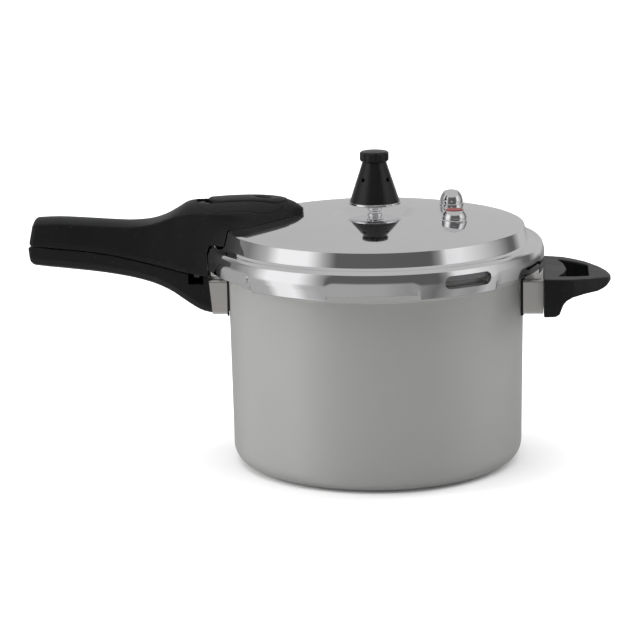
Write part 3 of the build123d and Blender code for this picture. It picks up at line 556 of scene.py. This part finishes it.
def lidOutline(out, down):
    # out is how far the skirt stands out, down how far it reaches down, from 0 between lugs to 1 on a lug
    floor, wall = lid["dimpleFloor"], lid["wall"]
    dimple = curveThrough([(19, floor), (22, 182.2), (25, 183.85), (28, 185.6), (30.5, 186.6),
                           (lid["crest"], lid["crestHeight"])], 26)
    dome = [(r, domeHeight(r)) for r in np.linspace(34, 108.6, 60)]
    upper = [(0.01, floor), (10, floor), (17, floor), *[tuple(p) for p in dimple], *dome]
    slope = softCorners([(108.6, domeHeight(108.6)), (110.6, 177.3), (113.4, 166.3), (115.2, 165.1),
                         (118.2, 164.9), (119.4, 165.0), (120.6, 166.0), (122.2, 165.9), (124.0, 164.0),
                         (125.5, 158.8)],
                        [0, 1.3, 1.3, 1.0, 0.6, 0.8, 1.0, 1.4, 3.0, 0])
    foot = 124.45 - 0.15 * (1 - out)
    low = 148.65 - 3.65 * down
    lip = 122.6 - 4.9 * down
    skirt = softCorners([(125.5, 158.8), (125.35 - 0.7 * (1 - out), 152.5), (foot, low), (lip, low),
                         (lip, low + 0.05 + 2.05 * down), (122.65, low + 0.15 + 2.05 * down), (122.9, 150.9)],
                        [0, 6, 0.3 + 0.7 * down, 0.01 + 0.5 * down, 0.01 + 0.5 * down, 0.02 + 0.5 * down, 0])
    inner = softCorners([(122.9, 150.9), (123.1, 158.6), (121.9, 162.0), (111.5, 162.6),
                         (108.3, domeHeight(108) - 3.4), (107, domeHeight(107) - wall)], [0, 2, 1.2, 0.8, 1, 0])
    under = [(r, domeHeight(r) - wall) for r in np.linspace(106, 34, 18)]
    inside = [(30.5, 184.2), (28, 183.2), (25, 181.45), (22, 179.8), (19, 179.1), (0.01, 179.1)]
    return upper + slope[1:] + skirt[1:] + inner[1:] + under + inside


def buildLid():
    pitch, lug = 360 / lid["lugs"], lid["lugAngle"]
    angles = []
    for k in range(lid["lugs"]):
        start = lid["lugPhase"] + k * pitch - lug / 2
        # the skirt's lower edge steps up in a quarter turn, and its face settles back over a longer stretch
        for t in np.linspace(0, lug, 57):
            angles.append((start + t, 1.0, 1.0))
        steps = [(0.25 * i, math.sqrt(max(0, 1 - (i / 4) ** 2))) for i in range(1, 5)]
        steps += [(t, 0.0) for t in np.linspace(1.3, 3.6, 9)]
        for t, down in steps:
            angles.append((start + lug + t, 1 - min(t / 3.6, 1), down))
        for t in np.linspace(4, pitch - lug - 4, 44):
            angles.append((start + lug + t, 0.0, 0.0))
        for t, down in reversed(steps):
            angles.append((start + pitch - t, 1 - min(t / 3.6, 1), down))
    rings = []
    for degrees, out, down in angles:
        a = math.radians(degrees)
        outline = lidOutline(out * out * (3 - 2 * out), down)
        rings.append([(r * math.cos(a), r * math.sin(a), z) for r, z in outline])
    points, faces = ringSkin(rings, closedEnds=True)
    piece = makePiece("lidShell", points, faces, None, None, finish=finishes["polished_aluminium"])
    cutters = []
    # window for the sealing ring, a slot with round ends that follows the skirt
    slotOutline = stadium((0, 0), 2 * lid["windowHalf"] / 57.2958 * 124 + 2 * lid["windowRadius"],
                          2 * lid["windowRadius"], 16)
    ends = []
    for reach in (119.5, 129):
        ends.append([(reach * math.cos(math.radians(lid["windowAngle"]) + u / 124),
                      reach * math.sin(math.radians(lid["windowAngle"]) + u / 124), lid["windowMiddle"] + v)
                     for u, v in slotOutline])
    cutters.append(cutterPiece(*ringSkin(ends)))
    for x, y in lid["holes"]:
        circle = [(x + 5 * math.cos(a), y + 5 * math.sin(a))
                  for a in np.linspace(0, 2 * math.pi, 48, endpoint=False)]
        cutters.append(cutterPiece(*prism(circle, 172, 192)))
    cutAway(piece, cutters)
    finishPiece(piece, "lid", ("lid_shell",), 28)


buildLid()
print("lid built")


# long handles
seam = {"line": [(-262, 163.9), (-259, 163.7), (-234.7, 161.9), (-196.5, 157.3), (-167.4, 151.1), (-139.8, 145.0),
                 (-112, 140.2), (-40, 130)], "gap": 0.9}
seamTable = curveThrough(seam["line"], 600)


def seamHeight(x):
    return float(np.interp(x, seamTable[:, 0], seamTable[:, 1]))


lidHandle = {
    # x, half width at the foot, foot height, half width at the shoulder, shoulder height, crown height
    "sections": [
        (-258.6, 14.0, 168, 11.8, 179.8, 183.6), (-236, 15.0, 167, 12.6, 180.4, 184.1),
        (-215, 15.2, 165, 12.8, 179.4, 183.1), (-197, 15.8, 162, 13.0, 178.4, 182.0),
        (-180, 17.0, 158, 14.0, 178.3, 181.4), (-165, 18.5, 155, 15.4, 180.6, 182.9),
        (-155, 20.0, 153, 16.6, 184.0, 186.4), (-147, 21.4, 152, 17.4, 186.8, 191.0),
        (-140, 22.6, 150, 18.8, 188.2, 195.2), (-130, 24.0, 152, 20.6, 189.0, 197.0),
        (-118, 26.6, 158, 22.8, 189.4, 198.2), (-105, 30.4, 168, 24.4, 189.6, 199.0),
        (-92, 32.0, 178, 24.6, 189.6, 199.3), (-79, 27.6, 181, 21.4, 189.4, 199.0),
        (-67, 19.6, 183, 15.4, 188.8, 197.2), (-59, 12.6, 184, 9.8, 188.0, 194.2),
        (-53.5, 5.0, 185, 3.6, 187.0, 190.2)],
    "rings": 170, "cornerRadius": 1.1, "endRadius": 3.2, "lean": 3.4}


def softenLoop(loop, count, radius):
    # even spacing, then corners melted by a short running average
    p = np.array(loop + [loop[0]], float)
    run = np.concatenate([[0], np.cumsum(np.linalg.norm(np.diff(p, axis=0), axis=1))])
    fine = 4 * count
    s = np.linspace(0, run[-1], fine, endpoint=False)
    q = np.column_stack([np.interp(s, run, p[:, k]) for k in range(2)])
    reach = max(1, int(round(radius / (run[-1] / fine))))
    kernel = np.hanning(2 * reach + 1)
    kernel /= kernel.sum()
    out = np.zeros_like(q)
    for offset, weight in zip(range(-reach, reach + 1), kernel):
        out += weight * np.roll(q, -offset, axis=0)
    return out[::4]


def lidHandleLoop(foot, footZ, shoulder, shoulderZ, crown, low):
    footZ = max(footZ, low + 1)
    # crown arc through the two shoulders
    rise = crown - shoulderZ
    radius = (shoulder**2 + rise**2) / (2 * rise)
    top = []
    for y in np.linspace(shoulder, -shoulder, 25):
        top.append((y, crown - radius + math.sqrt(max(radius**2 - y**2, 0))))
    return [(-foot, low), (foot, low), (foot, footZ)] + top + [(-foot, footZ)]


def taperRing(ring, amount):
    middle = ring.mean(axis=0)
    size = np.abs(ring - middle).max(axis=0)
    return middle + (ring - middle) * (1 - amount / size)


def buildLidHandle(s):
    rows = curveThrough(s["sections"], s["rings"])
    rings = []
    for x, foot, footZ, shoulder, shoulderZ, crown in rows:
        low = max(seamHeight(x) + seam["gap"] / 2, 140.6)
        loop = lidHandleLoop(foot, footZ, shoulder, shoulderZ, crown, low)
        rings.append((x, softenLoop(loop, 120, s["cornerRadius"])))
    x, first = rings[0]
    r = s["endRadius"]
    start = [(x + r - r * math.sin(t), taperRing(first, r * (1 - math.cos(t))))
             for t in np.linspace(math.pi / 2, 0.2, 7)]
    rings = start + [ring for ring in rings if ring[0] > x + r]
    # the far end leans back as it rises
    lean = s["lean"]
    skin = ringSkin([[(x + lean * max(0, z - 165) / 18 * max(0, 1 - (x - rings[0][0]) / 25), y, z)
                      for y, z in ring] for x, ring in rings])
    piece = makePiece("lidHandle", *skin, None, None, finish=finishes["black_phenolic"])
    # what it sits on, the recess on top, and the tunnels for the lock
    under = [(0.01, 100), (0.01, 187.25), (33, 187.25)]
    under += [(r, domeHeight(r) + 0.25) for r in np.linspace(36, 110.6, 40)]
    under += [(111.4, 176.5), (114, 166.25), (124.2, 166.25), (125.9, 161), (125.9, 100)]
    cutters = [cutterPiece(*spin(under, 360)), cutterPiece(*prism(stadium((-99, 0), 70.6, 46.0), 188.0, 230)),
               cutterPiece(*prism([(-146, -6), (-84, -6), (-84, 6), (-146, 6)], 185.4, 188.1)),
               cutterPiece(*prism([(-145.7, -5.2), (-131.2, -5.2), (-131.2, 5.2), (-145.7, 5.2)], 120, 186)),
               cutterPiece(*prism([(-106.4, -14.4), (-87.6, -14.4), (-87.6, 14.4), (-106.4, 14.4)], 165, 184.2))]
    cutAway(piece, cutters)
    finishPiece(piece, "lid", ("lid_handle",), 30)


buildLidHandle(lidHandle)
print("lid handle built")

lock = {"middle": -99.0, "length": 70.6, "width": 46.0, "floor": 188.1, "buttonFront": -64.8,
        "buttonLength": 59.0, "buttonWidth": 23.0, "travel": 9.0, "thickness": 2.0, "dentMiddle": (-81.5, 0),
        "dentReach": (11.0, 7.5), "dentDepth": 2.3, "bosses": [(-112, 0), (-90, 0)]}
crownTable = curveThrough(lidHandle["sections"], 400)


def crownHeight(x, y):
    shoulder, shoulderZ, crown = (float(np.interp(x, crownTable[:, 0], crownTable[:, k])) for k in (3, 4, 5))
    rise = crown - shoulderZ
    radius = (shoulder**2 + rise**2) / (2 * rise)
    return crown - radius + math.sqrt(max(radius**2 - min(abs(y), shoulder) ** 2, 0))


def ovalLoop(middle, length, width, arc=20, side=12):
    half, reach = width / 2, (length - width) / 2
    loop = [(middle + reach + half * math.cos(a), half * math.sin(a))
            for a in np.linspace(-math.pi / 2, math.pi / 2, arc + 1)]
    loop += [(middle + x, half) for x in np.linspace(reach, -reach, side + 1)[1:-1]]
    return loop + [(2 * middle - x, -y) for x, y in loop]


def buildBezel(s):
    outer = ovalLoop(s["middle"], s["length"] - 0.7, s["width"] - 0.7)
    inner = ovalLoop(s["middle"], s["length"] - 1.8, s["buttonWidth"] + 0.8)

    def between(share, drop):
        ring = []
        for (x0, y0), (x1, y1) in zip(outer, inner):
            x, y = x0 + (x1 - x0) * share, y0 + (y1 - y0) * share
            ring.append((x, y, crownHeight(x, y) - drop))
        return ring

    def trackFloor(share):
        ring = []
        for x1, y1 in inner:
            x, y = x1 + (s["middle"] - x1) * share * 0.35, y1 * (1 - share)
            lowest = min(crownHeight(x + step, y) for step in (0, s["travel"] / 2, s["travel"]))
            z = lowest - s["thickness"] - 0.35
            ring.append((x, y, z))
        return ring

    rings = [[(x, y, s["floor"]) for x, y in outer], between(0, 1.2), between(0.004, 0.5), between(0.02, 0.18),
             between(0.05, 0.02)]
    rings += [between(share, 0) for share in (0.15, 0.3, 0.45, 0.6, 0.75, 0.88)]
    rings += [between(0.96, 0.05), between(0.99, 0.25), between(1, 0.6)]
    rings += [trackFloor(share) for share in (0, 0.25, 0.5, 0.75, 0.995)]
    piece = makePiece("lockBezel", *ringSkin(rings), None, None, finish=finishes["black_phenolic"])
    cutAway(piece, [cutterPiece(*prism(stadium((-105.5, 0), 44, 9), 180, 215))])
    finishPiece(piece, "lid", ("lock_bezel",), 35)


def buildButton(s):
    middle = s["buttonFront"] - s["buttonLength"] / 2
    dentX, dentY = s["dentMiddle"]
    reachX, reachY = s["dentReach"]

    def ring(inset, drop):
        out = []
        for x, y in ovalLoop(middle, s["buttonLength"] - 2 * inset, max(s["buttonWidth"] - 2 * inset, 0.02)):
            away = ((x - dentX) / reachX) ** 2 + ((y - dentY) / reachY) ** 2
            dent = s["dentDepth"] * max(0, 1 - away) ** 1.5
            out.append((x, y, crownHeight(x, y) + 0.55 - drop - dent))
        return out

    r = 1.3
    rings = [ring(0.6, s["thickness"] + 0.55), ring(0, s["thickness"])]
    rings += [ring(r * (1 - math.cos(t)), r * (1 - math.sin(t))) for t in np.linspace(0, math.pi / 2, 7)]
    rings += [ring(inset, 0) for inset in np.linspace(2, s["buttonWidth"] / 2 - 0.02, 14)]
    points, faces = ringSkin(rings)
    for x, y in s["bosses"]:
        circle = [(x + 3.8 * math.cos(a), y + 3.8 * math.sin(a))
                  for a in np.linspace(0, 2 * math.pi, 32, endpoint=False)]
        more, moreFaces = prism(circle, 187.45, 196.2)
        faces += [tuple(i + len(points) for i in f) for f in moreFaces]
        points += more
    piece = makePiece("lockButton", points, faces, None, None, finish=finishes["black_phenolic"])
    finishPiece(piece, "lock", ("lock_button",), 35)


buildBezel(lock)
buildButton(lock)
nodes["lock_bar"].data.materials[0] = finishes["core_steel"]
print("lock built")

potHandle = {
    # x, half width, height of the underside's middle, height of the underside's edge
    "sections": [
        (-259.4, 13.6, 147.8, 152.2), (-247, 14.2, 146.4, 150.9), (-236, 14.6, 145.4, 150.0),
        (-221, 15.0, 143.9, 148.5), (-206, 15.3, 142.2, 146.9), (-195, 15.8, 140.6, 145.3),
        (-184, 16.4, 138.6, 143.4), (-174, 17.2, 136.3, 141.2), (-165, 18.0, 133.5, 138.6),
        (-157, 18.8, 130.1, 135.4), (-149.5, 19.5, 125.9, 131.4), (-144, 19.9, 122.0, 127.6),
        (-138.5, 20.3, 118.2, 123.8), (-130, 20.6, 113.4, 118.6), (-120, 20.8, 111.0, 115.4)],
    "rings": 150, "cornerRadius": 1.0, "endRadius": 2.4, "lean": 1.3}


def buildPotHandle(s):
    rings = []
    for x, half, under, edge in curveThrough(s["sections"], s["rings"]):
        high = seamHeight(x) - seam["gap"] / 2
        reach, drop = half - 2, (edge - 1) - under
        radius = (reach**2 + drop**2) / (2 * drop)
        belly = [(y, under + radius - math.sqrt(radius**2 - y**2)) for y in np.linspace(-reach, reach, 21)]
        loop = belly + [(half, edge + 3), (half, high), (-half, high), (-half, edge + 3)]
        rings.append((x, softenLoop(loop, 120, s["cornerRadius"])))
    x, first = rings[0]
    r = s["endRadius"]
    start = [(x + r - r * math.sin(t), taperRing(first, r * (1 - math.cos(t))))
             for t in np.linspace(math.pi / 2, 0.2, 7)]
    rings = start + [ring for ring in rings if ring[0] > x + r]
    lean = s["lean"]
    skin = ringSkin([[(x + lean * max(0, 163 - z) / 14 * max(0, 1 - (x - rings[0][0]) / 25), y, z)
                      for y, z in ring] for x, ring in rings])
    piece = makePiece("potHandle", *skin, None, None, finish=finishes["black_phenolic"])
    # the end that meets the guard, the lock's channel, and the bracket's room
    end = [[(-123.5, y, 141.0), (-120.7, y, 112.0), (-120.7, y, 90), (-90, y, 90), (-90, y, 175), (-123.5, y, 175)]
           for y in (-60, 60)]
    channel = [(140 * math.cos(a), 140 * math.sin(a))
               for a in np.linspace(math.radians(178), math.radians(206), 40)]
    channel += [(128.6 * math.cos(a), 128.6 * math.sin(a))
                for a in np.linspace(math.radians(206), math.radians(178), 40)]
    cutters = [cutterPiece(*ringSkin(end)), cutterPiece(*prism(channel, 136, 170)),
               cutterPiece(*prism([(-147.2, -5.3), (-136.8, -5.3), (-136.8, 5.3), (-147.2, 5.3)], 136, 170)),
               cutterPiece(*prism([(-143.4, -4.7), (-110, -4.7), (-110, 4.7), (-143.4, 4.7)], 124.3, 131.7)),
               cutterPiece(*prism([(-136 + 3.7 * math.cos(a), 3.7 * math.sin(a))
                                   for a in np.linspace(0, 2 * math.pi, 40, endpoint=False)], 100, 121.7))]
    cutAway(piece, cutters)
    finishPiece(piece, "pot", ("pot_handle",), 30)


buildPotHandle(potHandle)
print("pot handle built")

helper = {"start": 124.6,
          "outer": [(139, 44), (147, 40.5), (157, 33), (166, 22.5), (172, 12.5), (174.8, 0)],
          "gapInner": [(134, 33), (139.6, 18), (141.8, 0)],
          "gapOuter": [(134, 33), (148, 27), (157.8, 20), (157.8, 0)],
          "top": [(124.5, 144.5), (139, 144.0), (155, 142.6), (166, 141.0), (173, 139.4), (175, 138.6)],
          "under": [(124.5, 116.2), (132.2, 116.2), (134.6, 116.7), (136.4, 118.4), (137.4, 121.0), (138.4, 124.4),
                    (141, 127.6), (146, 130.0), (156, 131.5), (164, 131.3), (169, 132.2), (175, 134.8)],
          "edge": 1.2, "around": 240}


def buildHelper(s):
    half = [(s["start"], 46)] + s["outer"]
    loop = softCorners([(x, -y) for x, y in half] + [(x, y) for x, y in half[-2::-1]],
                       [0.8] + [14] * (2 * len(half) - 3) + [0.8], closed=True, steps=8)
    gap = softCorners([(x, -y) for x, y in s["gapInner"][:-1]] + [s["gapInner"][-1]]
                      + [(x, y) for x, y in s["gapInner"][-2::-1]]
                      + [(x, y) for x, y in s["gapOuter"][1:-1]] + [(x, -y) for x, y in s["gapOuter"][-2:0:-1]],
                      [2, 14, 20, 14, 2, 8, 4, 4, 8], closed=True, steps=8)

    def fromCentre(outline):
        # where a ray from inside the gap meets the outline
        centre, hits = Vector((148, 0)), []
        for k in range(s["around"]):
            a = 2 * math.pi * k / s["around"]
            d = Vector((math.cos(a), math.sin(a)))
            best = 0
            for i in range(len(outline)):
                p, q = Vector(outline[i - 1]) - centre, Vector(outline[i]) - centre
                e = q - p
                den = d.x * e.y - d.y * e.x
                if abs(den) < 1e-9:
                    continue
                t = (p.x * e.y - p.y * e.x) / den
                u = (p.x * d.y - p.y * d.x) / den
                if t > best and -1e-6 <= u <= 1 + 1e-6:
                    best = t
            hits.append(centre + d * best)
        return hits

    outerHits, gapHits = fromCentre(loop), fromCentre(gap)
    topX, topZ = np.array(s["top"]).T
    underX, underZ = np.array(s["under"]).T
    r = s["edge"]
    columns = [0, 0.04, 0.15, 0.35, 0.65, 1.0]
    rings = []
    for side in ("top", "under"):
        layers = []
        for share in columns:
            layers.append((share * r, r - math.sqrt(max(r * r - (r - share * r) ** 2, 0))))
        middle = [0.2, 0.3, 0.4, 0.5, 0.6, 0.7, 0.8]
        stack = []
        for inset, drop in layers:
            stack.append(("outer", inset, drop))
        for m in middle:
            stack.append(("mid", m, 0))
        for inset, drop in reversed(layers):
            stack.append(("gap", inset, drop))
        if side == "under":
            stack.reverse()
        for kind, value, drop in stack:
            ring = []
            for o, g in zip(outerHits, gapHits):
                d = (g - o)
                length = d.length
                if kind == "outer":
                    p = o + d * (value / length)
                elif kind == "gap":
                    p = g - d * (value / length)
                else:
                    p = o + d * ((r + value * (length - 2 * r)) / length)
                if side == "top":
                    z = float(np.interp(p.x, topX, topZ)) - drop
                else:
                    z = float(np.interp(p.x, underX, underZ)) + drop
                ring.append((p.x, p.y, z))
            rings.append(ring)
    points, faces = ringSkin(rings, closedEnds=True)
    piece = makePiece("helperHandle", points, faces, None, None, finish=finishes["black_phenolic"])
    cutters = [cutterPiece(*prism([(110, -4.7), (136.4, -4.7), (136.4, 4.7), (110, 4.7)], 124.3, 131.7)),
               cutterPiece(*prism([(129 + 3.7 * math.cos(a), 3.7 * math.sin(a))
                                   for a in np.linspace(0, 2 * math.pi, 40, endpoint=False)], 100, 121.7))]
    cutAway(piece, cutters)
    finishPiece(piece, "pot", ("helper_handle",), 34)


buildHelper(helper)
print("helper handle built")
